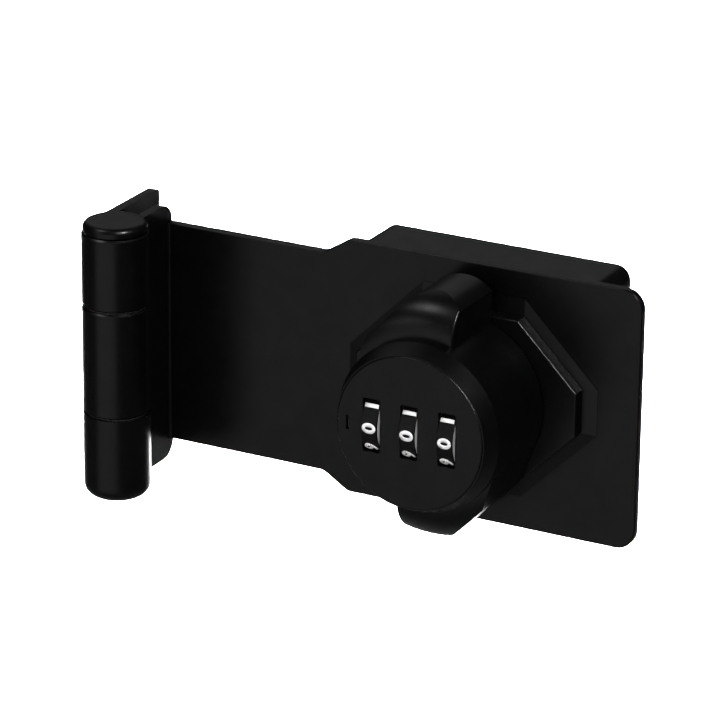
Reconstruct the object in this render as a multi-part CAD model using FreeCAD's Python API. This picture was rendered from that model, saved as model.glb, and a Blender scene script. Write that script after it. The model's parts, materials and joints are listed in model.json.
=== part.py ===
"""Keyless combination hasp lock for a cabinet, in millimetres.

Frame: the origin is where the knob's axis meets the keeper's mounting face. +X runs along the
hasp away from its hinge, +Y points into the furniture and +Z is up. Everything stands in front
of the furniture, at negative Y. The rest pose is closed and unlocked, with all dials at zero.
"""
import FreeCAD, Part
import math
import os

V = FreeCAD.Vector
X_AXIS, Y_AXIS, Z_AXIS = V(1, 0, 0), V(0, 1, 0), V(0, 0, 1)

# ---- hasp plate -------------------------------------------------------------------------
STRAP_T = 1.5            # sheet thickness
STRAP_FRONT = -12.1      # front face of the plate
STRAP_BACK = STRAP_FRONT + STRAP_T
PLATE_Z = -0.45          # the plate's middle lies a little below the knob's axis
WIDE_X0, WIDE_X1 = -23.5, 30.5
WIDE_H = 46.0            # height of the lock plate
NARROW_H = 40.0          # height of the narrow strap
TAPER_L = 4.8            # length of the step from narrow to wide
PLATE_R = 3.5            # outer corners of the lock plate
BEND_R = 0.6             # inner radius of the bend beside the hinge

# ---- hinge ------------------------------------------------------------------------------
HINGE_X, HINGE_Y = -59.5, -28.6
BARREL_R = 5.8
LEG_H = 46.8             # height of the strap's bent leg
LEG_TOP, LEG_BOTTOM = PLATE_Z + LEG_H / 2, PLATE_Z - LEG_H / 2
BARREL_TOP, BARREL_BOTTOM = LEG_TOP, LEG_BOTTOM - 1.05
KNUCKLE_TOP, KNUCKLE_BOTTOM = 9.9, -9.4        # joints between the three knuckles
WEB_TOP, WEB_BOTTOM = LEG_TOP + 0.45, LEG_BOTTOM
HEAD_T, HEAD_DOME = 1.6, 1.1                   # the pin's head and the round of its edge
JOINT_GAP = 0.4          # filled by a thin washer
PIN_R = 2.4
PIN_RUN = 0.06           # running clearance of the middle knuckle
LEAF_T = 1.8
LEAF_WEB_END = -6.8      # the full-height web stops here
LEAF_FOOT_H = 30.0
LEAF_FOOT_X1 = -35.0
LEAF_SCREW_R = 2.1
LEAF_SCREW_X = (-48.5, -40.0)   # clear of the barrel, so that a driver reaches them
LEAF_SCREW_Z = 10.0

# ---- keeper -----------------------------------------------------------------------------
KEEPER_HALF_W, KEEPER_HALF_H = 23.0, 22.5
KEEPER_FRONT = -10.0
KEEPER_WALL = 2.0
KEEPER_R = 2.6
KEEPER_SCREW = (16.5, 15.5)                     # screw centres, plus and minus
KEEPER_SCREW_R = 2.1
SLOT_X0, SLOT_X1, SLOT_HALF_H = -4.7, 6.3, 12.9  # wider away from the hinge, for the bar's arc
STRIKE_T = 1.2

# ---- escutcheon and knob ----------------------------------------------------------------
ESC_T = 3.0
ESC_FRONT = STRAP_FRONT - ESC_T
ESC_HALF_W, ESC_HALF_H, ESC_CUT = 20.5, 14.8, 11.0
FLANGE_EDGE_T = 0.1      # a thin sloping flange around the octagon's foot, at its edge
FLANGE_T = 0.5           # and beside the octagon
FLANGE_HALF_W, FLANGE_HALF_H, FLANGE_CUT = 23.1, 17.6, 13.6
KNOB_BACK = ESC_FRONT - 0.2
KNOB_R = 14.8
FACE_Y = -35.5           # front of the round face plate
FACE_R = 13.35
FACE_T = 0.9
FACE_PROUD = 0.3         # the face plate stands this far out of the knob's rim
BEVEL_Y = -32.1          # the knob's conical rim starts here
BEVEL_R = FACE_R + 0.17  # and is this wide beside the face plate
WING_REACH = 21.6        # from the knob's axis to a wing's tip
WING_FLAT_X = 5.0        # the wing's steep thumb face
WING_TIP_R = 7.2         # the round of the tip seen from the front
WING_SLOPE_END = (-10.9, 13.4)   # the long 45 degree slope ends here
WING_FOOT = (-13.8, 4.6)
WING_FRONT = -30.3
WING_BACK = -15.6
WING_SHOULDER_R = 7.0    # the round from the wing's front to its tip
WING_EDGE_R = 0.5
POCKET_R = 12.6          # room for the dial mechanism
POCKET_FLOOR = -20.8
FENCE_SPRING_END = POCKET_FLOOR + 3.0

# ---- dials ------------------------------------------------------------------------------
DIAL_PITCH = 6.9
DIAL_R = 6.2
DIAL_W = 3.0
DIAL_PROUD = 0.95        # how far a dial stands out of its window
DIAL_Y = FACE_Y - DIAL_PROUD + DIAL_R
WINDOW_W = 3.2
WINDOW_BOTTOM, WINDOW_TOP = -4.5, 4.9
AXLE_R = 1.4
DIAL_BORE_R = 1.46
CAM_R, CAM_W = 3.9, 1.5
GATE_W, GATE_DEPTH = 1.8, 1.4

# ---- spindle and latch ------------------------------------------------------------------
SPINDLE_R = 3.4
BUSH_BORE_R = 3.46
BUSH_R = 5.0
BAR_HALF_L, BAR_HALF_W = 12.0, 3.0
BAR_FRONT, BAR_BACK = -6.1, -3.4
FENCE_PIN_X = 9.0
FENCE_PIN_R = 1.2
FENCE_SPRING_X = -7.6
FENCE_T = 1.0
BALL_ORBIT = 11.6        # radius of the detent ball's path
BALL_R = 1.2


# ---- helpers ----------------------------------------------------------------------------
def box(x0, x1, y0, y1, z0, z1):
    return Part.makeBox(x1 - x0, y1 - y0, z1 - z0, V(x0, y0, z0))


def cyl_y(r, y0, y1, x=0.0, z=0.0):
    return Part.makeCylinder(r, y1 - y0, V(x, y0, z), Y_AXIS)


def cyl_x(r, x0, x1, y=0.0, z=0.0):
    return Part.makeCylinder(r, x1 - x0, V(x0, y, z), X_AXIS)


def cyl_z(r, z0, z1, x=0.0, y=0.0):
    return Part.makeCylinder(r, z1 - z0, V(x, y, z0), Z_AXIS)


def cone_y(r0, r1, y0, y1, x=0.0, z=0.0):
    return Part.makeCone(r0, r1, y1 - y0, V(x, y0, z), Y_AXIS)


def prism_y(points, y0, y1):
    """Extrude an outline of (x, z) points from y0 to y1."""
    wire = Part.makePolygon([V(x, y0, z) for x, z in points + points[:1]])
    return Part.Face(wire).extrude(V(0, y1 - y0, 0))


def edges_along(shape, axis, test=lambda c: True):
    """Straight edges parallel to an axis whose middle point passes the test."""
    found = []
    for edge in shape.Edges:
        if edge.Curve.TypeId != "Part::GeomLine":
            continue
        a, b = edge.Vertexes[0].Point, edge.Vertexes[-1].Point
        if abs((b - a).normalize().dot(axis)) > 0.999 and test((a + b) * 0.5):
            found.append(edge)
    return found


def edges_at_y(shape, y):
    return [e for e in shape.Edges if abs(e.BoundBox.YMin - y) < 1e-4 and abs(e.BoundBox.YMax - y) < 1e-4]


def union(*shapes):
    result = shapes[0]
    for shape in shapes[1:]:
        result = result.fuse(shape)
    return result.removeSplitter()


def mirrored_pairs(dx, dz):
    return [(sx * dx, sz * dz) for sx in (-1, 1) for sz in (-1, 1)]


def countersunk_rivet(x, z, r, head_r, y_front, y_back):
    """A stud from y_front to y_back whose flush head is at y_back."""
    head_t = head_r - r
    return union(cyl_y(r, y_front, y_back, x, z), cone_y(r, head_r, y_back - head_t, y_back, x, z))


# ---- hinge ------------------------------------------------------------------------------
def knuckle(z0, z1):
    body = cyl_z(BARREL_R, z0, z1, HINGE_X, HINGE_Y)
    rims = [e for e in body.Edges if e.Curve.TypeId == "Part::GeomCircle"]
    return body.makeChamfer(0.25, rims)


def hinge_leaf():
    top = knuckle(KNUCKLE_TOP + JOINT_GAP / 2, BARREL_TOP)
    bottom = cyl_z(BARREL_R, BARREL_BOTTOM, KNUCKLE_BOTTOM - JOINT_GAP / 2, HINGE_X, HINGE_Y)
    foot_edge = [e for e in bottom.Edges if e.BoundBox.ZMax < BARREL_BOTTOM + 0.01]
    bottom = bottom.makeFillet(2.4, foot_edge)
    x0 = HINGE_X - BARREL_R
    web = box(x0, x0 + LEAF_T, HINGE_Y, LEAF_WEB_END, WEB_BOTTOM, WEB_TOP)
    web = web.cut(cyl_z(BARREL_R, BARREL_TOP, WEB_TOP + 1, HINGE_X, HINGE_Y))
    web = web.makeFillet(0.8, edges_along(web, X_AXIS, lambda c: c.y > LEAF_WEB_END - 0.1))
    half_foot = LEAF_FOOT_H / 2
    tongue = box(x0, x0 + LEAF_T, LEAF_WEB_END - 1, 0, -half_foot, half_foot)
    foot = box(x0, LEAF_FOOT_X1, -LEAF_T, 0, -half_foot, half_foot)
    foot = foot.makeFillet(3.0, edges_along(foot, Y_AXIS, lambda c: c.x > LEAF_FOOT_X1 - 0.1))
    leaf = union(web, tongue, foot)
    outer = edges_along(leaf, Z_AXIS, lambda c: abs(c.x - x0) < 0.01 and abs(c.y) < 0.01)
    leaf = leaf.makeFillet(1.6, outer)
    clear = cyl_z(BARREL_R + 0.3, KNUCKLE_BOTTOM - JOINT_GAP / 2, KNUCKLE_TOP + JOINT_GAP / 2, HINGE_X, HINGE_Y)
    leaf = union(leaf.cut(clear), top, bottom)
    leaf = leaf.cut(cyl_z(PIN_R, BARREL_BOTTOM + 3, BARREL_TOP + 1, HINGE_X, HINGE_Y))
    for x in LEAF_SCREW_X:
        for z in (-LEAF_SCREW_Z, LEAF_SCREW_Z):
            leaf = leaf.cut(cyl_y(LEAF_SCREW_R, -LEAF_T - 1, 1, x, z))
            leaf = leaf.cut(cone_y(LEAF_SCREW_R + 1.6, LEAF_SCREW_R, -LEAF_T, -LEAF_T + 1.2, x, z))
    return leaf


def hinge_pin():
    """The shaft, a narrow neck and a domed head that caps the barrel."""
    head_z = BARREL_TOP + 0.3
    head_top = head_z + HEAD_T
    shaft = cyl_z(PIN_R, BARREL_BOTTOM + 3, head_z, HINGE_X, HINGE_Y)
    neck = cyl_z(BARREL_R - 1.0, BARREL_TOP, head_z, HINGE_X, HINGE_Y)
    head = cyl_z(BARREL_R - 0.25, head_z, head_top, HINGE_X, HINGE_Y)
    rim = [e for e in head.Edges if e.BoundBox.ZMin > head_top - 0.01]
    return union(shaft, neck, head.makeFillet(HEAD_DOME, rim))


def hinge_washers():
    rings = []
    for z in (KNUCKLE_TOP, KNUCKLE_BOTTOM):
        z0 = z - JOINT_GAP / 2
        ring = cyl_z(BARREL_R - 0.5, z0 + 0.03, z0 + JOINT_GAP - 0.03, HINGE_X, HINGE_Y)
        rings.append(ring.cut(cyl_z(PIN_R, z0 - 1, z0 + 1, HINGE_X, HINGE_Y)))
    return Part.makeCompound(rings)


# ---- keeper -----------------------------------------------------------------------------
def keeper_slot(y0, y1, grow=0.0):
    slot = box(SLOT_X0 - grow, SLOT_X1 + grow, y0, y1, -SLOT_HALF_H - grow, SLOT_HALF_H + grow)
    return slot.makeFillet(3.0 + grow, edges_along(slot, Y_AXIS))


def keeper_box():
    w, h, t = KEEPER_HALF_W, KEEPER_HALF_H, KEEPER_WALL
    shell = box(-w, w, KEEPER_FRONT, 0, PLATE_Z - h, PLATE_Z + h)
    shell = shell.makeFillet(KEEPER_R, edges_along(shell, Y_AXIS))
    shell = shell.makeFillet(0.5, edges_at_y(shell, KEEPER_FRONT))
    inner = box(-w + t, w - t, KEEPER_FRONT + t, 1, PLATE_Z - h + t, PLATE_Z + h - t)
    shell = shell.cut(inner.makeFillet(1.2, edges_along(inner, Y_AXIS)))
    for x, z in mirrored_pairs(*KEEPER_SCREW):
        shell = shell.fuse(cyl_y(4.2, KEEPER_FRONT + 1, 0, x, z))
        shell = shell.cut(cyl_y(KEEPER_SCREW_R, KEEPER_FRONT - 1, 1, x, z))
        shell = shell.cut(cone_y(KEEPER_SCREW_R + 1.8, KEEPER_SCREW_R, KEEPER_FRONT, KEEPER_FRONT + 1.6, x, z))
    shell = shell.cut(keeper_slot(KEEPER_FRONT - 1, KEEPER_FRONT + t + 1))
    for x, z in BUMPERS:
        shell = shell.cut(cyl_y(2.0, KEEPER_FRONT - 1, KEEPER_FRONT + 0.6, x, z))
    for x, z in STRIKE_RIVETS:
        shell = shell.cut(cyl_y(1.0, KEEPER_FRONT - 1, KEEPER_FRONT + t + 1, x, z))
        shell = shell.cut(cone_y(1.8, 1.0, KEEPER_FRONT, KEEPER_FRONT + 0.8, x, z))
    return shell.removeSplitter()


BUMPERS = mirrored_pairs(KEEPER_HALF_W - 6.5, 6.0)
STRIKE_RIVETS = mirrored_pairs(9.0, 8.0)


def keeper_bumpers():
    """Four rubber buttons that stop the closed plate from rattling."""
    pads = []
    for x, z in BUMPERS:
        pad = cyl_y(2.0, KEEPER_FRONT - 0.4, KEEPER_FRONT + 0.6, x, z)
        pads.append(pad.makeFillet(0.25, edges_at_y(pad, KEEPER_FRONT - 0.4)))
    return Part.makeCompound(pads)


def keeper_strike():
    """The steel plate behind the keeper's front wall that the latch bar bears on."""
    y0 = KEEPER_FRONT + KEEPER_WALL
    plate = box(-11.5, 11.8, y0, y0 + STRIKE_T, -17.5, 17.5)
    plate = plate.cut(keeper_slot(y0 - 1, y0 + STRIKE_T + 1))
    for x, z in STRIKE_RIVETS:
        plate = plate.cut(cyl_y(1.0, y0 - 1, y0 + STRIKE_T + 1, x, z))
    return plate


def strike_rivets():
    rivets = []
    y_back = KEEPER_FRONT + KEEPER_WALL + STRIKE_T
    for x, z in STRIKE_RIVETS:
        shank = cyl_y(1.0, KEEPER_FRONT, y_back, x, z)
        front = cone_y(1.8, 1.0, KEEPER_FRONT, KEEPER_FRONT + 0.8, x, z)
        back = cone_y(1.7, 1.2, y_back, y_back + 0.35, x, z)
        rivets.append(union(shank, front, back))
    return Part.makeCompound(rivets)


# ---- hasp plate and escutcheon ----------------------------------------------------------
def plate_outline():
    """The flat plate seen from the front, from the end of the bend to the lock end."""
    wide, narrow = WIDE_H / 2, NARROW_H / 2
    x0 = HINGE_X + STRAP_T / 2 + BEND_R
    top = [(x0, narrow), (WIDE_X0 - TAPER_L, narrow), (WIDE_X0, wide), (WIDE_X1, wide)]
    outline = top + [(x, -z) for x, z in reversed(top)]
    return [(x, z + PLATE_Z) for x, z in outline]


def bend(leg_end):
    """The leg back to the hinge and the bend into the plate, extruded along Z."""
    low, high, t = LEG_BOTTOM, LEG_TOP, STRAP_T
    x0 = HINGE_X - t / 2
    outer, inner = BEND_R + t, BEND_R
    bend_x, bend_y = x0 + outer, STRAP_BACK - outer
    diagonal = math.sqrt(0.5)
    start, start_in = V(x0, leg_end, low), V(x0 + t, leg_end, low)
    a, b = V(x0, bend_y, low), V(bend_x, STRAP_BACK, low)
    ab = V(bend_x - outer * diagonal, bend_y + outer * diagonal, low)
    c, d = V(bend_x, STRAP_FRONT, low), V(x0 + t, bend_y, low)
    cd = V(bend_x - inner * diagonal, bend_y + inner * diagonal, low)
    edges = [Part.makeLine(start, a), Part.Arc(a, ab, b).toShape(), Part.makeLine(b, c),
             Part.Arc(c, cd, d).toShape(), Part.makeLine(d, start_in), Part.makeLine(start_in, start)]
    solid = Part.Face(Part.Wire(edges)).extrude(V(0, 0, high - low))
    side = box(x0, x0 + t, leg_end, STRAP_BACK, low, high)
    side = side.makeFillet(3.4, edges_along(side, X_AXIS, lambda m: m.y > STRAP_BACK - 0.1))
    narrow = NARROW_H / 2
    return solid.common(union(side, box(x0 + t, bend_x, leg_end, STRAP_BACK, PLATE_Z - narrow, PLATE_Z + narrow)))


def strap_plate():
    plate = prism_y(plate_outline(), STRAP_FRONT, STRAP_BACK)
    plate = plate.makeFillet(PLATE_R, edges_along(plate, Y_AXIS, lambda c: c.x > WIDE_X1 - 0.1))
    steps = edges_along(plate, Y_AXIS, lambda c: WIDE_X0 - TAPER_L - 0.1 < c.x < WIDE_X0 + 0.1)
    plate = plate.makeFillet(2.2, steps)
    start = plate.BoundBox.XMin + 0.01
    plate = plate.makeFillet(0.3, [e for e in edges_at_y(plate, STRAP_FRONT) if e.BoundBox.XMax > start])
    leg_end = HINGE_Y + BARREL_R + 0.35
    lx0, lx1 = HINGE_X - STRAP_T / 2, HINGE_X + STRAP_T / 2
    arm = box(lx0, lx1, HINGE_Y + PIN_R + 1, leg_end + 1, KNUCKLE_BOTTOM + 0.5, KNUCKLE_TOP - 0.5)
    middle = knuckle(KNUCKLE_BOTTOM + JOINT_GAP / 2, KNUCKLE_TOP - JOINT_GAP / 2)
    body = union(plate, bend(leg_end), arm, middle)
    body = body.cut(cyl_z(PIN_R + PIN_RUN, BARREL_BOTTOM, BARREL_TOP, HINGE_X, HINGE_Y))
    body = body.cut(cyl_y(BUSH_R, STRAP_FRONT - 1, STRAP_BACK + 1))
    for x, z in ESC_RIVETS:
        body = body.cut(cyl_y(1.25, STRAP_FRONT - 1, STRAP_BACK + 1, x, z))
        body = body.cut(cone_y(1.25, 2.15, STRAP_BACK - 0.9, STRAP_BACK, x, z))
    return body


ESC_RIVETS = [(-16.5, 0.0), (16.5, 0.0), (-11.0, 10.0), (11.0, -10.0)]


def octagon(w, h, c):
    """Corner points, w and h from the middle to the sides, with the corners cut by c."""
    right = [(w - c, h), (w, h - c), (w, c - h), (w - c, -h)]
    return right + [(-x, z) for x, z in reversed(right)]


def flange():
    """The escutcheon's foot: it slopes from the octagon's sides down to a thin edge."""
    outer = octagon(FLANGE_HALF_W, FLANGE_HALF_H, FLANGE_CUT)
    inner = octagon(ESC_HALF_W, ESC_HALF_H, ESC_CUT)
    edge_y, foot_y = STRAP_FRONT - FLANGE_EDGE_T, STRAP_FRONT - FLANGE_T
    wires = [Part.makePolygon([V(x, y, z) for x, z in points + points[:1]])
             for points, y in ((outer, edge_y), (inner, foot_y))]
    return union(Part.makeLoft(wires, True, True), prism_y(outer, edge_y, STRAP_FRONT))


def escutcheon():
    """An octagonal boss with a thin flange at its foot; it carries the knob."""
    body = prism_y(octagon(ESC_HALF_W, ESC_HALF_H, ESC_CUT), ESC_FRONT, STRAP_FRONT)
    body = body.makeFillet(0.4, edges_along(body, Y_AXIS))
    body = body.makeFillet(0.25, edges_at_y(body, ESC_FRONT))
    body = union(body, flange())
    body = body.cut(cyl_y(BUSH_R, ESC_FRONT - 1, STRAP_FRONT + 1))
    for x, z in ESC_RIVETS:
        body = body.cut(cyl_y(1.25, STRAP_FRONT - 2, STRAP_FRONT + 1, x, z))
    for angle in (0, 90):
        a = math.radians(angle)
        body = body.cut(cyl_y(FENCE_PIN_R + 0.3, ESC_FRONT - 1, ESC_FRONT + 1.3,
                              FENCE_PIN_X * math.cos(a), FENCE_PIN_X * math.sin(a)))
        b = math.radians(angle + BALL_ANGLE)
        body = body.cut(Part.makeSphere(BALL_R, V(BALL_ORBIT * math.cos(b), ESC_FRONT - BALL_R + 0.35,
                                                  BALL_ORBIT * math.sin(b))))
    return body


BALL_ANGLE = 215.0


def escutcheon_rivets():
    return Part.makeCompound([countersunk_rivet(x, z, 1.25, 2.15, STRAP_FRONT - 2, STRAP_BACK)
                              for x, z in ESC_RIVETS])


def spindle_bush():
    body = union(cyl_y(BUSH_R, ESC_FRONT, STRAP_BACK), cyl_y(5.8, STRAP_BACK, STRAP_BACK + 0.4))
    return body.cut(cyl_y(BUSH_BORE_R, ESC_FRONT - 1, STRAP_BACK + 2))


# ---- knob -------------------------------------------------------------------------------
def arc(a, b, centre, radius):
    """The shorter arc from a to b, both radius away from the centre."""
    middle = centre + ((a + b) * 0.5 - centre).normalize() * radius
    return Part.Arc(a, middle, b).toShape()


def ring(points):
    """Straight edges through a list of points, left open."""
    return [Part.makeLine(a, b) for a, b in zip(points, points[1:])]


def wing_profile():
    """A turned body as large as the wings: flat in front, with a large rounded shoulder."""
    r, y0 = WING_SHOULDER_R, WING_FRONT
    reach = WING_REACH + 0.12
    front = V(reach - r, y0, 0)
    side = V(reach, y0 + r, 0)
    rest = ring([side, V(reach, WING_BACK, 0), V(0, WING_BACK, 0), V(0, y0, 0), front])
    shoulder = arc(front, side, V(reach - r, y0 + r, 0), r)
    return Part.Face(Part.Wire([shoulder] + rest)).revolve(V(0, 0, 0), Y_AXIS, 360)


def wing():
    """One thumb wing: steep on one side, with a long slope down to the knob on the other."""
    y, r = WING_FRONT - 1, WING_TIP_R
    centre_z = WING_REACH - r

    def at(x, z):
        return V(x, y, z)
    start = at(WING_FLAT_X, centre_z + math.sqrt(r ** 2 - WING_FLAT_X ** 2))
    end = at(-r * math.sqrt(0.5), centre_z + r * math.sqrt(0.5))
    tip = Part.Arc(start, at(0, WING_REACH), end).toShape()
    rest = ring([end, at(*WING_SLOPE_END), at(*WING_FOOT), at(0, 0), at(WING_FLAT_X, 0), start])
    plan = Part.Face(Part.Wire([tip] + rest)).extrude(V(0, WING_BACK + 1 - y, 0))
    body = plan.common(wing_profile())
    ridge = [e for e in body.Edges if e.BoundBox.XMin > WING_FLAT_X - 0.01
             and e.BoundBox.YMax < WING_FRONT + WING_SHOULDER_R + 0.01 and e.BoundBox.YLength > 0.5]
    return body.makeFillet(WING_EDGE_R, ridge)


def knob_shell():
    """The turned body: a chamfered back, the grip and the conical rim around the face plate."""
    rim_y = FACE_Y + FACE_PROUD
    pts = [V(0, KNOB_BACK, 0), V(KNOB_R - 0.5, KNOB_BACK, 0), V(KNOB_R, KNOB_BACK - 0.5, 0),
           V(KNOB_R, BEVEL_Y, 0), V(BEVEL_R, rim_y, 0), V(0, rim_y, 0)]
    return Part.Face(Part.Wire(ring(pts + pts[:1]))).revolve(V(0, 0, 0), Y_AXIS, 360)


def knob_body():
    rim_y = FACE_Y + FACE_PROUD
    upper = wing()
    lower = wing()
    lower.rotate(V(0, 0, 0), Y_AXIS, 180)
    body = union(knob_shell(), upper, lower)
    body = body.cut(cyl_y(FACE_R + 0.02, rim_y - 5, FACE_Y + FACE_T))
    body = body.cut(cyl_y(POCKET_R, rim_y - 5, POCKET_FLOOR))
    body = body.cut(cyl_y(SPINDLE_R, POCKET_FLOOR - 1, KNOB_BACK + 1))
    body = body.cut(cyl_y(FENCE_PIN_R + 0.06, POCKET_FLOOR - 1, KNOB_BACK + 1, FENCE_PIN_X, 0))
    bx, bz = ball_centre()
    body = body.cut(cyl_y(BALL_R + 0.04, KNOB_BACK - 4.4, KNOB_BACK + 1, bx, bz))
    body = body.cut(cyl_y(1.3, POCKET_FLOOR - 1, FENCE_SPRING_END, FENCE_SPRING_X, 0))
    for x, z in FRAME_SCREWS:
        body = body.cut(cyl_y(0.8, POCKET_FLOOR - 1, POCKET_FLOOR + 3.5, x, z))
    return body


def ball_centre():
    a = math.radians(BALL_ANGLE)
    return BALL_ORBIT * math.cos(a), BALL_ORBIT * math.sin(a)


def detent_ball():
    x, z = ball_centre()
    return Part.makeSphere(BALL_R, V(x, KNOB_BACK + 0.12 - BALL_R, z))


def coil_spring(x, z, y0, y1, r, wire_r, turns):
    """A helical spring along Y, with its two ends at y0 and y1."""
    pitch = (y1 - y0 - 2 * wire_r) / turns
    helix = Part.makeHelix(pitch, pitch * turns, r)
    section = Part.Wire(Part.makeCircle(wire_r, V(r, 0, 0), Y_AXIS))
    coil = Part.Wire(helix).makePipeShell([section], True, True)
    coil.rotate(V(0, 0, 0), X_AXIS, -90)
    coil.translate(V(x, y0 + wire_r, z))
    return coil


def detent_spring():
    x, z = ball_centre()
    return coil_spring(x, z, KNOB_BACK - 4.35, KNOB_BACK + 0.12 - 2 * BALL_R - 0.02, 0.85, 0.16, 4)


def face_plate():
    """The round front plate, with one window for each dial and a slot for the reset tab."""
    disc = cyl_y(FACE_R, FACE_Y, FACE_Y + FACE_T)
    disc = disc.makeFillet(0.28, edges_at_y(disc, FACE_Y))
    for x in dial_places():
        window = box(x - WINDOW_W / 2, x + WINDOW_W / 2, FACE_Y - 1, FACE_Y + FACE_T + 1,
                     WINDOW_BOTTOM, WINDOW_TOP)
        disc = disc.cut(window.makeFillet(0.3, edges_along(window, Y_AXIS)))
    return disc.cut(box(RESET_X - 0.3, RESET_X + 0.3, FACE_Y - 1, FACE_Y + FACE_T + 1, -1.25, 1.25))


RESET_X = -11.3


def reset_tab():
    """A sprung tab behind the face plate's slot; pushed in, it frees the code for a change."""
    back = FACE_Y + FACE_T + 0.05
    return union(box(RESET_X - 0.22, RESET_X + 0.22, FACE_Y + 0.7, back + 0.1, -1.15, 1.15),
                 box(RESET_X - 0.55, RESET_X + 0.5, back, back + 0.5, -3.2, 3.2))


# ---- dials ------------------------------------------------------------------------------
def dial_places():
    return (-DIAL_PITCH, 0.0, DIAL_PITCH)


def dial(x):
    """A number wheel with broken edges."""
    wheel = cyl_x(DIAL_R, x - DIAL_W / 2, x + DIAL_W / 2, DIAL_Y)
    wheel = wheel.makeChamfer(0.2, [e for e in wheel.Edges if e.Curve.TypeId == "Part::GeomCircle"])
    return wheel.cut(cyl_x(DIAL_BORE_R, x - DIAL_W, x + DIAL_W, DIAL_Y))


def code_cam(x):
    """The gated cam beside a dial."""
    x1 = x - DIAL_W / 2
    x0 = x1 - CAM_W
    cam = cyl_x(CAM_R, x0, x1, DIAL_Y).cut(cyl_x(DIAL_BORE_R, x0 - 1, x1 + 1, DIAL_Y))
    edge = DIAL_Y + CAM_R
    return cam.cut(box(x0 - 1, x1 + 1, edge - GATE_DEPTH, edge + 1, -GATE_W / 2, GATE_W / 2))


FRAME_X = 11.0           # inner face of each cheek of the dial frame
FRAME_T = 0.8
FRAME_SCREWS = [(0.0, 9.0), (0.0, -9.0)]
DETENT_T = 0.3           # spring steel of the dial detent


def dial_frame():
    """A steel frame on the pocket's floor whose two cheeks hold the dials' axle."""
    y0 = POCKET_FLOOR - FRAME_T
    base = cyl_y(FRAME_X + 0.7, y0, POCKET_FLOOR).cut(cyl_y(5.4, y0 - 1, POCKET_FLOOR + 1))
    cheeks = [box(min(s * FRAME_X, s * (FRAME_X + 0.7)), max(s * FRAME_X, s * (FRAME_X + 0.7)),
                  DIAL_Y - 2.2, POCKET_FLOOR, -3.6, 3.6) for s in (-1, 1)]
    frame = union(base, *cheeks).cut(cyl_x(AXLE_R, -20, 20, DIAL_Y))
    frame = frame.cut(cyl_y(FENCE_PIN_R + 0.3, y0 - 1, POCKET_FLOOR + 1, FENCE_PIN_X, 0))
    frame = frame.cut(cyl_y(1.3, y0 - 1, POCKET_FLOOR + 1, FENCE_SPRING_X, 0))
    for x, z in FRAME_SCREWS:
        frame = frame.cut(cyl_y(0.8, y0 - 1, POCKET_FLOOR + 1, x, z))
    return frame


def frame_screws():
    """Two screws; the upper one also holds the dial detent's foot."""
    screws = []
    for x, z in FRAME_SCREWS:
        seat = POCKET_FLOOR - FRAME_T - (DETENT_T if z > 0 else 0.0)
        head = cyl_y(1.5, seat - 0.8, seat, x, z).cut(box(x - 0.2, x + 0.2, seat - 1, seat - 0.4, z - 2, z + 2))
        screws.append(union(cyl_y(0.8, seat, POCKET_FLOOR + 3.4, x, z), head))
    return Part.makeCompound(screws)


def dial_axle():
    return cyl_x(AXLE_R, -FRAME_X - 0.9, FRAME_X + 0.9, DIAL_Y)


def spacers():
    """Thin sleeves on the axle that keep the dials at their pitch."""
    half = DIAL_W / 2
    spans = [(-FRAME_X + 0.03, -DIAL_PITCH - half - CAM_W - 0.03),
             (-DIAL_PITCH + half + 0.03, -half - CAM_W - 0.03),
             (half + 0.03, DIAL_PITCH - half - CAM_W - 0.03),
             (DIAL_PITCH + half + 0.03, FRAME_X - 0.03)]
    return Part.makeCompound([cyl_x(2.1, a, b, DIAL_Y).cut(cyl_x(AXLE_R, a - 1, b + 1, DIAL_Y))
                              for a, b in spans])


def dial_detent():
    """A comb of three spring fingers above the dials that gives each its clicks."""
    z0 = DIAL_R + 0.3
    z1 = z0 + DETENT_T
    seat = POCKET_FLOOR - FRAME_T
    fingers = [box(x - 1.0, x + 1.0, DIAL_Y - 1.0, DIAL_Y + 4.6, z0, z1) for x in dial_places()]
    root = box(-8.4, 8.4, DIAL_Y + 4.2, DIAL_Y + 5.4, z0, z1)
    post = box(-2.6, 2.6, DIAL_Y + 5.1, seat, z0, z1)
    foot = box(-2.6, 2.6, seat - DETENT_T, seat, z0, 11.0)
    x, z = FRAME_SCREWS[0]
    return union(root, post, foot, *fingers).cut(cyl_y(0.8, seat - 1, seat + 1, x, z))


def locking_fence():
    """The fence: three teeth that face the cams' gates, and a pin that locks the knob."""
    tip = DIAL_Y + CAM_R + 0.2
    bar_y0 = DIAL_Y + DIAL_R + 0.25
    bar = box(-9.4, 10.2, bar_y0, bar_y0 + FENCE_T, -1.3, 1.3)
    teeth = [box(x - DIAL_W / 2 - CAM_W + 0.2, x - DIAL_W / 2 - 0.25, tip, bar_y0 + 0.5, -0.7, 0.7)
             for x in dial_places()]
    pin = cyl_y(FENCE_PIN_R, bar_y0 + 0.5, KNOB_BACK - 0.25, FENCE_PIN_X, 0)
    return union(bar, pin, *teeth)


def fence_spring():
    y0 = DIAL_Y + DIAL_R + 0.25 + FENCE_T
    return coil_spring(FENCE_SPRING_X, 0.0, y0 + 0.02, FENCE_SPRING_END - 0.02, 1.0, 0.18, 4)


# ---- spindle and latch ------------------------------------------------------------------
def spindle():
    """The shaft from the knob to the latch bar; its end is squared for the bar."""
    shaft = cyl_y(SPINDLE_R, POCKET_FLOOR, BAR_FRONT)
    flange = cyl_y(5.2, POCKET_FLOOR - 0.55, POCKET_FLOOR)
    square = box(-2.0, 2.0, BAR_FRONT, BAR_BACK, -2.0, 2.0)
    body = union(flange, shaft, square)
    return body.cut(cyl_y(1.0, BAR_BACK - 6, BAR_BACK + 1))


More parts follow.
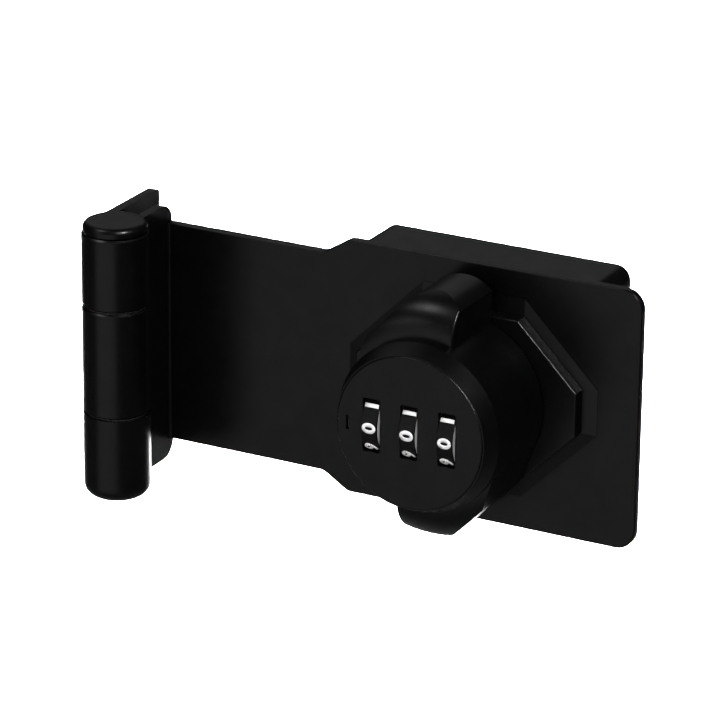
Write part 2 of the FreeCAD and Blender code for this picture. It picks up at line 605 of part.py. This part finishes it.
def retaining_clip():
    y0 = STRAP_BACK + 0.45
    ring = cyl_y(4.2, y0, y0 + 0.4).cut(cyl_y(SPINDLE_R, y0 - 1, y0 + 1))
    return ring.cut(box(-1.2, 1.2, y0 - 1, y0 + 1, 0, 6))


def latch_bar():
    w, length = BAR_HALF_W, BAR_HALF_L
    bar = box(-w, w, BAR_FRONT, BAR_BACK, -length, length)
    bar = bar.makeFillet(1.4, edges_along(bar, Y_AXIS))
    bar = bar.makeFillet(0.4, edges_at_y(bar, BAR_BACK))
    return bar.cut(box(-2.0, 2.0, BAR_FRONT - 1, BAR_BACK + 1, -2.0, 2.0))


def bar_screw():
    head = cyl_y(2.8, BAR_BACK, BAR_BACK + 1.0)
    head = head.makeFillet(0.5, edges_at_y(head, BAR_BACK + 1.0))
    screw = union(head, cyl_y(1.0, BAR_BACK - 5.5, BAR_BACK))
    return screw.cut(box(-0.35, 0.35, BAR_BACK + 0.5, BAR_BACK + 2, -3, 3)).cut(
        box(-3, 3, BAR_BACK + 0.5, BAR_BACK + 2, -0.35, 0.35))


def build():
    nodes = {
        "hinge_leaf": hinge_leaf(), "hinge_pin": hinge_pin(), "hinge_washers": hinge_washers(),
        "keeper_box": keeper_box(), "keeper_bumpers": keeper_bumpers(),
        "keeper_strike": keeper_strike(), "strike_rivets": strike_rivets(),
        "strap_plate": strap_plate(), "escutcheon": escutcheon(),
        "escutcheon_rivets": escutcheon_rivets(), "spindle_bush": spindle_bush(),
        "knob_body": knob_body(), "face_plate": face_plate(), "reset_tab": reset_tab(),
        "detent_ball": detent_ball(), "detent_spring": detent_spring(),
        "dial_frame": dial_frame(), "frame_screws": frame_screws(), "dial_axle": dial_axle(),
        "dial_spacers": spacers(), "dial_detent": dial_detent(),
        "locking_fence": locking_fence(), "fence_spring": fence_spring(),
        "spindle": spindle(), "retaining_clip": retaining_clip(),
        "latch_bar": latch_bar(), "bar_screw": bar_screw(),
    }
    for number, x in enumerate(dial_places(), start=1):
        nodes[f"dial_{number}"] = dial(x)
        nodes[f"code_cam_{number}"] = code_cam(x)
    return nodes


def main():
    os.makedirs("parts", exist_ok=True)
    for name, shape in build().items():
        if not shape.isValid() or shape.Volume <= 0:
            raise ValueError(f"{name} is not a valid solid")
        shape.exportStep(f"parts/{name}.step")
        print(f"{name}: {len(shape.Solids)} solid(s), {shape.Volume:.1f} mm3")


main()
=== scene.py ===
"""Looks for the combination hasp lock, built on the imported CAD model. Lengths are in metres."""
import json
import math

import bpy
import bmesh
from mathutils import Matrix, Vector


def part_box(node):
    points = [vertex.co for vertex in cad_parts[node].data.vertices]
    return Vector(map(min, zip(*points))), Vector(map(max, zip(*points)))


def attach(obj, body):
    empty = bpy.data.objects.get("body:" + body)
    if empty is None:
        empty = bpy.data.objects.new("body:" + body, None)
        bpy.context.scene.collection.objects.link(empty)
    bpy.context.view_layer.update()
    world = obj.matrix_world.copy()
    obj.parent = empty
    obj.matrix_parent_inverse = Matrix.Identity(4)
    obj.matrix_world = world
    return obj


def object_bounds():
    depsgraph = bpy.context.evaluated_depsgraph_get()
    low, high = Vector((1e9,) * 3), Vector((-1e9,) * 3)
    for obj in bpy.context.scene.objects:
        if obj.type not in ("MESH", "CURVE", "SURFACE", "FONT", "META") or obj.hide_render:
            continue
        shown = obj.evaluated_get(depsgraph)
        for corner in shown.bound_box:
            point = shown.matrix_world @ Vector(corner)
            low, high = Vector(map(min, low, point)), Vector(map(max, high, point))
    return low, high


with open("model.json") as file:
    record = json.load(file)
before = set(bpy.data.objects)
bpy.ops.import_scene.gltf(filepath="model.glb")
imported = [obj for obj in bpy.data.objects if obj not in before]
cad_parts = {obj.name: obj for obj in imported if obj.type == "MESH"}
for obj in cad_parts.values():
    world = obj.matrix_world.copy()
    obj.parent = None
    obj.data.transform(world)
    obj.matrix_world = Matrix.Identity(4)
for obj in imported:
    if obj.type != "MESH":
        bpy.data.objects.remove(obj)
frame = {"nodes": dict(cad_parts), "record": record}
CAD_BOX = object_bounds()
MM = 0.001

# ---- camera -----------------------------------------------------------------------------
CAMERA_TARGET = Vector((-21.25, -12.1, 1.21)) * MM
CAMERA_AZIMUTH, CAMERA_ELEVATION, CAMERA_ROLL = 27.45, 20.95, 0.63   # degrees
CAMERA_DISTANCE = 0.7233
CAMERA_LENS = 213.0

# ---- dials ------------------------------------------------------------------------------
DIGIT_HEIGHT = 2.5 * MM
DIGIT_WIDEN = 1.12         # the numerals are broad and bold
DIGIT_RELIEF = 0.03 * MM
DIGIT_BOLD = 0.045         # outline growth, in units of the font size
DIGITS = 10

# ---- stage ------------------------------------------------------------------------------
FLOOR_HALF = 6.0
FLOOR_DROP = 0.30          # the floor lies this far below the lock
WORLD_STRENGTH = 0.02
BACKDROP_SPOT = Vector((-0.42, 0.84, -0.32))   # the floor that the camera sees behind the lock


# ---- node helpers -----------------------------------------------------------------------
def new_material(name):
    """An empty node material and its Principled shader."""
    material = bpy.data.materials.new(name)
    material.use_nodes = True
    return material, material.node_tree.nodes["Principled BSDF"]


def node(material, kind, **inputs):
    made = material.node_tree.nodes.new(kind)
    for key, value in inputs.items():
        made.inputs[key.replace("_", " ")].default_value = value
    return made


def link(material, source, target):
    material.node_tree.links.new(source, target)


def object_coordinates(material):
    return node(material, "ShaderNodeTexCoord").outputs["Object"]


def noise(material, scale, detail=3.0, roughness=0.55, coordinates=None):
    made = node(material, "ShaderNodeTexNoise", Scale=scale, Detail=detail, Roughness=roughness)
    link(material, coordinates or object_coordinates(material), made.inputs["Vector"])
    return made.outputs["Fac"]


def ramp(material, source, stops):
    """Maps 0..1 to grey values or colours given as (position, value) stops."""
    made = node(material, "ShaderNodeValToRGB")
    elements = made.color_ramp.elements
    while len(elements) < len(stops):
        elements.new(0.5)
    for element, (position, value) in zip(elements, stops):
        element.position = position
        rgb = value if isinstance(value, tuple) else (value, value, value)
        element.color = (*rgb, 1.0)
    link(material, source, made.inputs["Fac"])
    return made.outputs["Color"]


def bump(material, shader, height, strength, distance, chain=None):
    made = node(material, "ShaderNodeBump", Strength=strength, Distance=distance)
    link(material, height, made.inputs["Height"])
    if chain is not None:
        link(material, chain, made.inputs["Normal"])
    link(material, made.outputs["Normal"], shader.inputs["Normal"])
    return made.outputs["Normal"]


# ---- materials --------------------------------------------------------------------------
def black_coat(name, low=0.28, high=0.36, grain=0.5):
    """Satin black powder coat: a fine orange peel, faint mottling and slightly uneven gloss."""
    material, shader = new_material(name)
    mottle = noise(material, 90.0, 4.0)
    colour = ramp(material, mottle, [(0.25, (0.0006, 0.0006, 0.0007)), (0.8, (0.0015, 0.0015, 0.0016))])
    link(material, colour, shader.inputs["Base Color"])
    gloss = noise(material, 260.0, 5.0)
    link(material, ramp(material, gloss, [(0.3, low), (0.75, high)]), shader.inputs["Roughness"])
    shader.inputs["Specular IOR Level"].default_value = 0.45
    peel = noise(material, 2600.0, 2.0)
    wave = noise(material, 420.0, 1.0)
    first = bump(material, shader, peel, grain * 0.18, 0.00004)
    bump(material, shader, wave, grain * 0.12, 0.0001, first)
    return material


def digit_paint():
    """White filled paint, a little uneven where it was wiped off."""
    material, shader = new_material("digit_white")
    patch = noise(material, 1800.0, 4.0)
    link(material, ramp(material, patch, [(0.2, 0.78), (0.6, 0.9)]), shader.inputs["Base Color"])
    link(material, ramp(material, patch, [(0.2, 0.55), (0.8, 0.38)]), shader.inputs["Roughness"])
    bump(material, shader, patch, 0.2, 0.00002)
    return material


def bare_steel(name, colour=(0.42, 0.42, 0.43), stretch=(1.0, 1.0, 14.0)):
    """Plain machined steel with fine brushing."""
    material, shader = new_material(name)
    mapping = node(material, "ShaderNodeMapping", Scale=stretch)
    link(material, object_coordinates(material), mapping.inputs["Vector"])
    streaks = noise(material, 700.0, 5.0, coordinates=mapping.outputs["Vector"])
    dark = tuple(0.8 * c for c in colour)
    link(material, ramp(material, streaks, [(0.3, dark), (0.7, colour)]), shader.inputs["Base Color"])
    link(material, ramp(material, streaks, [(0.3, 0.38), (0.7, 0.26)]), shader.inputs["Roughness"])
    shader.inputs["Metallic"].default_value = 1.0
    bump(material, shader, streaks, 0.15, 0.00003)
    return material


def bare_flank():
    """The dials' unpainted sides: pale cast metal, tumbled dull."""
    material, shader = new_material("dial_flank")
    speck = noise(material, 2200.0, 4.0)
    link(material, ramp(material, speck, [(0.3, 0.50), (0.7, 0.62)]), shader.inputs["Base Color"])
    link(material, ramp(material, speck, [(0.3, 0.60), (0.7, 0.48)]), shader.inputs["Roughness"])
    shader.inputs["Metallic"].default_value = 0.35
    bump(material, shader, speck, 0.2, 0.00003)
    return material


def brass():
    return bare_steel("brass", (0.70, 0.50, 0.22))


def soft_black(name, roughness):
    """Black nylon or rubber with a fine moulded grain."""
    material, shader = new_material(name)
    grain = noise(material, 3000.0, 2.0)
    link(material, ramp(material, grain, [(0.3, 0.012), (0.7, 0.022)]), shader.inputs["Base Color"])
    link(material, ramp(material, grain, [(0.3, roughness), (0.7, roughness + 0.12)]),
         shader.inputs["Roughness"])
    bump(material, shader, grain, 0.25, 0.00005)
    return material


def floor_paint():
    material, shader = new_material("floor_pale")
    mottle = noise(material, 6.0, 3.0)
    link(material, ramp(material, mottle, [(0.3, 0.90), (0.7, 0.93)]), shader.inputs["Base Color"])
    shader.inputs["Roughness"].default_value = 0.9
    shader.inputs["Specular IOR Level"].default_value = 0.0
    return material


def bare_flanks(obj, material):
    """The two flat sides of a dial are left uncoated."""
    obj.data.materials.append(material)
    for face in obj.data.polygons:
        if abs(face.normal.x) > 0.95:
            face.material_index = 1


def dress_nodes():
    """Gives every carried-over CAD node its material."""
    coat = black_coat("black_coat")
    face = black_coat("face_coat", 0.32, 0.40, 0.8)
    wheel = black_coat("dial_coat", 0.30, 0.42, 0.3)
    flank = bare_flank()
    steel = bare_steel("plain_steel")
    yellow = brass()
    nylon = soft_black("black_nylon", 0.45)
    rubber = soft_black("bumper_rubber", 0.7)
    chosen = {"black_coat": coat, "dial_metal": wheel, "plain_steel": steel, "bush_brass": yellow,
              "black_nylon": nylon, "bumper_rubber": rubber}
    special = {"face_plate": face, "reset_tab": nylon}
    slots = {part["node"]: part["material_slot"] for part in frame["record"]["subparts"]}
    for name, obj in frame["nodes"].items():
        obj.data.materials.clear()
        obj.data.materials.append(special.get(name, chosen[slots[name]]))
    for number in (1, 2, 3):
        bare_flanks(frame["nodes"][f"dial_{number}"], flank)


# ---- digits -----------------------------------------------------------------------------
def digit_outline(character):
    """One digit as a flat mesh in its own x, y plane, centred on its middle."""
    curve = bpy.data.curves.new("digit", "FONT")
    curve.body = character
    curve.size = 1.0
    curve.offset = DIGIT_BOLD
    curve.resolution_u = 6
    text = bpy.data.objects.new("digit", curve)
    bpy.context.scene.collection.objects.link(text)
    bpy.context.view_layer.update()
    mesh = bpy.data.meshes.new_from_object(text)
    bpy.data.objects.remove(text)
    xs = [v.co.x for v in mesh.vertices]
    ys = [v.co.y for v in mesh.vertices]
    height = max(ys) - min(ys)
    centre = Vector(((max(xs) + min(xs)) / 2, (max(ys) + min(ys)) / 2, 0))
    for v in mesh.vertices:
        v.co = (v.co - centre) / height
    return mesh


def digit_ring(number, centre, radius, material):
    """Ten raised digits round one dial, tops towards -X; 0 faces the front at rest."""
    bm = bmesh.new()
    for k in range(DIGITS):
        mesh = digit_outline(str(k))
        part = bmesh.new()
        part.from_mesh(mesh)
        bmesh.ops.subdivide_edges(part, edges=part.edges[:], cuts=1)
        flat = part.faces[:]
        extruded = bmesh.ops.extrude_face_region(part, geom=flat)
        top = {v for v in extruded["geom"] if isinstance(v, bmesh.types.BMVert)}
        angle = 2 * math.pi * k / DIGITS
        for v in part.verts:
            along, across = -v.co.y * DIGIT_HEIGHT, v.co.x * DIGIT_HEIGHT * DIGIT_WIDEN
            r = radius + (DIGIT_RELIEF if v in top else -DIGIT_RELIEF)
            a = angle + across / radius
            v.co = centre + Vector((along, -r * math.cos(a), r * math.sin(a)))
        joined = bpy.data.meshes.new("part")
        part.to_mesh(joined)
        bm.from_mesh(joined)
        part.free()
    bmesh.ops.recalc_face_normals(bm, faces=bm.faces[:])
    mesh = bpy.data.meshes.new(f"digits_{number}")
    bm.to_mesh(mesh)
    bm.free()
    mesh.materials.append(material)
    obj = bpy.data.objects.new(f"digits_{number}", mesh)
    bpy.context.scene.collection.objects.link(obj)
    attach(obj, f"wheel_{number}")
    return obj


def add_digits():
    paint = digit_paint()
    for number in (1, 2, 3):
        low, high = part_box(f"dial_{number}")
        centre = (low + high) / 2
        digit_ring(number, centre, (high.z - low.z) / 2, paint)


# ---- camera, lights and floor -----------------------------------------------------------
def direction(azimuth, elevation):
    """The unit vector from the object towards a place at that azimuth and elevation."""
    a, e = math.radians(azimuth), math.radians(elevation)
    return Vector((math.sin(a) * math.cos(e), -math.cos(a) * math.cos(e), math.sin(e)))


def add_camera():
    data = bpy.data.cameras.new("camera")
    data.lens = CAMERA_LENS
    data.sensor_width = 36.0
    data.clip_start, data.clip_end = 0.05, 50.0
    data.dof.use_dof = False
    camera = bpy.data.objects.new("camera", data)
    bpy.context.scene.collection.objects.link(camera)
    a, e, r = (math.radians(v) for v in (CAMERA_AZIMUTH, CAMERA_ELEVATION, CAMERA_ROLL))
    back = direction(CAMERA_AZIMUTH, CAMERA_ELEVATION)
    right = Vector((math.cos(a), math.sin(a), 0))
    up = Vector((-math.sin(a) * math.sin(e), math.cos(a) * math.sin(e), math.cos(e)))
    x = right * math.cos(r) + up * math.sin(r)
    y = up * math.cos(r) - right * math.sin(r)
    rotation = Matrix((x, y, back)).transposed().to_4x4()
    camera.matrix_world = Matrix.Translation(CAMERA_TARGET + back * CAMERA_DISTANCE) @ rotation
    bpy.context.scene.camera = camera


def area_light(name, azimuth, elevation, distance, size, power, size_y=None, spread=None,
               target=CAMERA_TARGET):
    """A rectangular lamp aimed at the target; spread narrows its beam, in degrees."""
    data = bpy.data.lights.new(name, "AREA")
    data.shape = "RECTANGLE"
    data.size = size
    data.size_y = size_y or size
    data.energy = power
    if spread is not None:
        data.spread = math.radians(spread)
    light = bpy.data.objects.new(name, data)
    bpy.context.scene.collection.objects.link(light)
    way = direction(azimuth, elevation)
    facing = way.to_track_quat("Z", "Y").to_matrix().to_4x4()
    light.matrix_world = Matrix.Translation(target + way * distance) @ facing
    return light


def add_lights():
    """Weak boxes in front and behind, three small keys, a fill and a wash on the floor behind.

    The fill makes no highlights: it only brightens the white numerals.
    """
    area_light("front_box", -6, -12, 0.65, 0.80, 0.57, size_y=0.6)
    area_light("left_key", -35, 22, 0.9, 0.25, 0.18)
    area_light("right_key", 62, 44, 0.9, 0.10, 0.12, spread=28)
    area_light("hair_light", -50, 57, 0.9, 0.25, 0.025, spread=28)
    area_light("back_box", -150, 38, 1.0, 0.9, 0.42, size_y=0.8)
    fill = area_light("numeral_fill", 10, 22, 0.9, 0.15, 0.07, spread=16)
    fill.visible_glossy = False
    area_light("backdrop_wash", 27, 66, 1.25, 0.5, 36.0, spread=34, target=BACKDROP_SPOT)


def add_floor():
    lowest = CAD_BOX[0]
    bm = bmesh.new()
    bmesh.ops.create_grid(bm, x_segments=8, y_segments=8, size=FLOOR_HALF)
    mesh = bpy.data.meshes.new("floor")
    bm.to_mesh(mesh)
    bm.free()
    mesh.materials.append(floor_paint())
    floor = bpy.data.objects.new("floor", mesh)
    floor.location = (0, 0, lowest.z - FLOOR_DROP)
    bpy.context.scene.collection.objects.link(floor)


def set_world():
    world = bpy.data.worlds.new("studio")
    world.use_nodes = True
    background = world.node_tree.nodes["Background"]
    background.inputs["Color"].default_value = (1.0, 1.0, 1.0, 1.0)
    background.inputs["Strength"].default_value = WORLD_STRENGTH
    bpy.context.scene.world = world
    bpy.context.scene.view_settings.view_transform = "Standard"


dress_nodes()
add_digits()
add_camera()
add_lights()
add_floor()
set_world()
